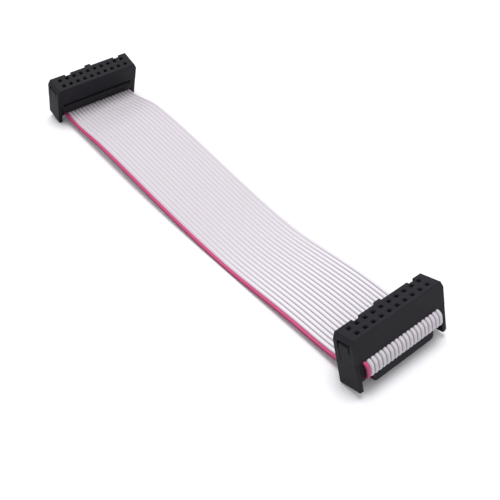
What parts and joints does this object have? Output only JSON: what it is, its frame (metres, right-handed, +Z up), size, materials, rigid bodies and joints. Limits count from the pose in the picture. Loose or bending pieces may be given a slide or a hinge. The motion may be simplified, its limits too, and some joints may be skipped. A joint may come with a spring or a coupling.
{
  "type": "ribbon cable",
  "caption": "Short flat ribbon cable with a black female insulation-displacement socket crimped on each end, folded over each socket's cover and held by a strain-relief clip.",
  "frame": {"origin": "on the surface that the assembly lies on, midway between the two sockets and on the cable's centre line", "axes": "+Y along the cable from socket a to socket b, +X across it from the crimson first wire to the last, +Z up from the surface"},
  "size_m": [0.0296, 0.1468, 0.0156],
  "materials": {
    "ribbon_pvc": "soft PVC insulation, near white with a crimson first wire",
    "socket_plastic": "satin black moulded PBT",
    "contact_alloy": "plated phosphor bronze strip",
    "conductor_copper": "tinned copper strands"
  },
  "bodies": {
    "root": {"ribbon": "ribbon_pvc", "conductors": "conductor_copper", "socket_a_body": "socket_plastic", "socket_a_cover": "socket_plastic", "socket_a_clip": "socket_plastic", "socket_b_body": "socket_plastic", "socket_b_cover": "socket_plastic", "socket_b_clip": "socket_plastic", "socket_a_contact_01": "contact_alloy", "socket_a_contact_02": "contact_alloy", "socket_a_contact_03": "contact_alloy", "socket_a_contact_04": "contact_alloy", "socket_a_contact_05": "contact_alloy", "socket_a_contact_06": "contact_alloy", "socket_a_contact_07": "contact_alloy", "socket_a_contact_08": "contact_alloy", "socket_a_contact_09": "contact_alloy", "socket_a_contact_10": "contact_alloy", "socket_a_contact_11": "contact_alloy", "socket_a_contact_12": "contact_alloy", "socket_a_contact_13": "contact_alloy", "socket_a_contact_14": "contact_alloy", "socket_a_contact_15": "contact_alloy", "socket_a_contact_16": "contact_alloy", "socket_a_contact_17": "contact_alloy", "socket_a_contact_18": "contact_alloy", "socket_a_contact_19": "contact_alloy", "socket_a_contact_20": "contact_alloy", "socket_b_contact_01": "contact_alloy", "socket_b_contact_02": "contact_alloy", "socket_b_contact_03": "contact_alloy", "socket_b_contact_04": "contact_alloy", "socket_b_contact_05": "contact_alloy", "socket_b_contact_06": "contact_alloy", "socket_b_contact_07": "contact_alloy", "socket_b_contact_08": "contact_alloy", "socket_b_contact_09": "contact_alloy", "socket_b_contact_10": "contact_alloy", "socket_b_contact_11": "contact_alloy", "socket_b_contact_12": "contact_alloy", "socket_b_contact_13": "contact_alloy", "socket_b_contact_14": "contact_alloy", "socket_b_contact_15": "contact_alloy", "socket_b_contact_16": "contact_alloy", "socket_b_contact_17": "contact_alloy", "socket_b_contact_18": "contact_alloy", "socket_b_contact_19": "contact_alloy", "socket_b_contact_20": "contact_alloy"}
  },
  "joints": []
}
